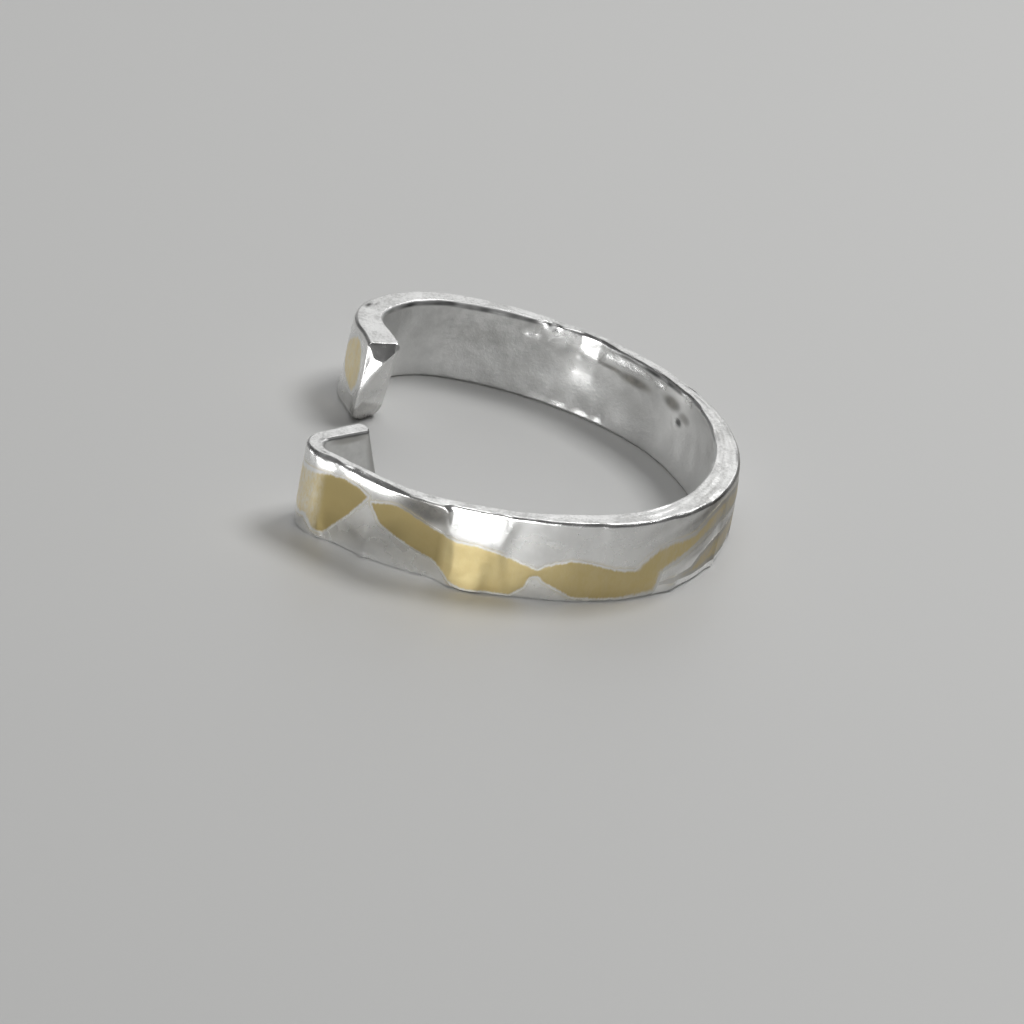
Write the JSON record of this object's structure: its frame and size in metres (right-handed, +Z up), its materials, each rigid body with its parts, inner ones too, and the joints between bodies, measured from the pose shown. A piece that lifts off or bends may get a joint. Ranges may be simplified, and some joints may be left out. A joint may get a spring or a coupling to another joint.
{
  "type": "open band ring",
  "caption": "Open finger ring bent from a planished silver strip, with its ends hooked inwards and irregular gold foil fused to the outer face.",
  "frame": {"origin": "on the surface that the ring lies on, under the middle of its bounding box", "axes": "+Z up through the finger hollow, +X towards the closed side, -X towards the open ends, -Y towards the foiled front"},
  "size_m": [0.0192, 0.0201, 0.004],
  "materials": {
    "silver": "polished silver, lightly planished outside, satin inside, frosted rim",
    "gold_foil": "burnished gold foil"
  },
  "bodies": {
    "root": {"band": "silver", "foil_front": "gold_foil", "foil_left": "gold_foil", "foil_low": "gold_foil", "foil_rear": "gold_foil"}
  },
  "joints": []
}
